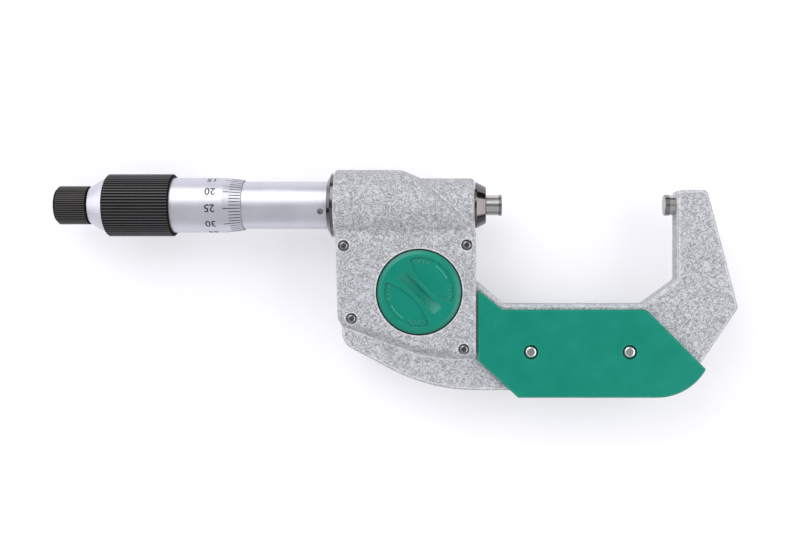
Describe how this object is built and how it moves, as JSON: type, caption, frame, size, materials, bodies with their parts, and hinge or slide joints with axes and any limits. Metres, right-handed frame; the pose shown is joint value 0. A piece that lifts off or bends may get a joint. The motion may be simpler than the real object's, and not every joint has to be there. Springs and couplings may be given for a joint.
{
  "type": "digital outside micrometer",
  "caption": "Digital outside micrometer, 25 to 50 mm, with C-shaped cast frame, ratchet thimble, green grip plates, display and coin-slot battery cap",
  "frame": {"origin": "centre of the anvil's measuring face", "axes": "+X along the spindle towards the anvil, +Y towards the top of the housing, +Z out of the back of the housing"},
  "size_m": [0.2086, 0.0694, 0.0254],
  "materials": {
    "cast_paint": "satin",
    "satin_steel": "satin",
    "ground_steel": "satin",
    "hard_metal": "satin",
    "black_chrome": "gloss",
    "green_plastic": "satin",
    "black_plastic": "satin",
    "black_grip": "satin",
    "cover_plastic": "satin",
    "window_clear": "gloss",
    "display_glass": "gloss",
    "button_rubber": "matte",
    "button_accent": "matte",
    "circuit_board": "satin",
    "brass_metal": "satin",
    "black_screw": "satin",
    "bright_screw": "satin",
    "seal_rubber": "matte",
    "felt_ring": "matte",
    "battery_can": "satin"
  },
  "bodies": {
    "frame": {"frame": "cast_paint", "anvil": "ground_steel", "anvil_tip": "hard_metal", "grip_plate_back": "green_plastic", "grip_plate_front": "green_plastic", "grip_plate_screws": "bright_screw", "nose_ring": "black_chrome", "spindle_bush": "ground_steel", "spindle_seal": "felt_ring", "inner_sleeve": "black_screw", "outer_sleeve": "satin_steel", "adjusting_nut": "brass_metal", "barrel_ring": "black_chrome", "stator_board": "circuit_board", "rotor_bearing": "brass_metal", "main_board": "circuit_board", "board_screws": "bright_screw", "tact_switches": "black_plastic", "lcd_panel": "display_glass", "lcd_connectors": "seal_rubber", "lcd_window": "window_clear", "front_cover": "cover_plastic", "cover_gasket": "seal_rubber", "housing_screws": "black_screw", "battery": "battery_can", "battery_collar": "black_plastic", "battery_tray": "black_plastic", "battery_contact_minus": "brass_metal", "battery_contact_plus": "brass_metal", "lock_shoe": "brass_metal"},
    "rotor": {"rotor_bush": "brass_metal", "rotor_disc": "circuit_board", "drive_key": "ground_steel"},
    "spindle": {"spindle": "ground_steel", "spindle_tip": "hard_metal", "thimble": "satin_steel", "thimble_grip": "black_grip", "ratchet_screw": "ground_steel", "ratchet_fixed_disc": "ground_steel"},
    "ratchet": {"ratchet_knob": "black_grip", "ratchet_disc": "ground_steel", "ratchet_spring": "ground_steel", "ratchet_cap": "satin_steel"},
    "lock": {"lock_lever": "bright_screw", "lock_screw": "ground_steel"},
    "battery_cap": {"battery_cap": "green_plastic", "battery_cap_seal": "seal_rubber"},
    "button_zero": {"button_zero": "button_accent"},
    "button_unit": {"button_unit": "button_rubber"},
    "button_power": {"button_power": "button_rubber"}
  },
  "joints": [
    {"name": "thimble_turn", "type": "hinge", "parent": "frame", "child": "rotor", "pos_m": [-0.084, 0, 0], "axis": [1, 0, 0], "range_deg": [0, 18010]},
    {"name": "spindle_feed", "type": "slide", "parent": "rotor", "child": "spindle", "axis": [1, 0, 0], "range_m": [0, 0.025]},
    {"name": "ratchet_slip", "type": "hinge", "parent": "spindle", "child": "ratchet", "pos_m": [-0.18, 0, 0], "axis": [1, 0, 0], "continuous": true},
    {"name": "lock_swing", "type": "hinge", "parent": "frame", "child": "lock", "pos_m": [-0.0625, 0, -0.0095], "axis": [0, 0, 1], "range_deg": [-50, 0]},
    {"name": "battery_cap_turn", "type": "hinge", "parent": "frame", "child": "battery_cap", "pos_m": [-0.07515, -0.02645, 0.006], "axis": [0, 0, 1], "range_deg": [0, 60]},
    {"name": "button_zero_press", "type": "slide", "parent": "frame", "child": "button_zero", "axis": [0, 0, 1], "range_m": [0, 0.0006], "stiffness_N_per_m": 800},
    {"name": "button_unit_press", "type": "slide", "parent": "frame", "child": "button_unit", "axis": [0, 0, 1], "range_m": [0, 0.0006], "stiffness_N_per_m": 800},
    {"name": "button_power_press", "type": "slide", "parent": "frame", "child": "button_power", "axis": [0, 0, 1], "range_m": [0, 0.0006], "stiffness_N_per_m": 800}
  ],
  "couplings": [
    {"joint": "thimble_turn", "follows": "spindle_feed", "rad_per_m": 12566}
  ]
}
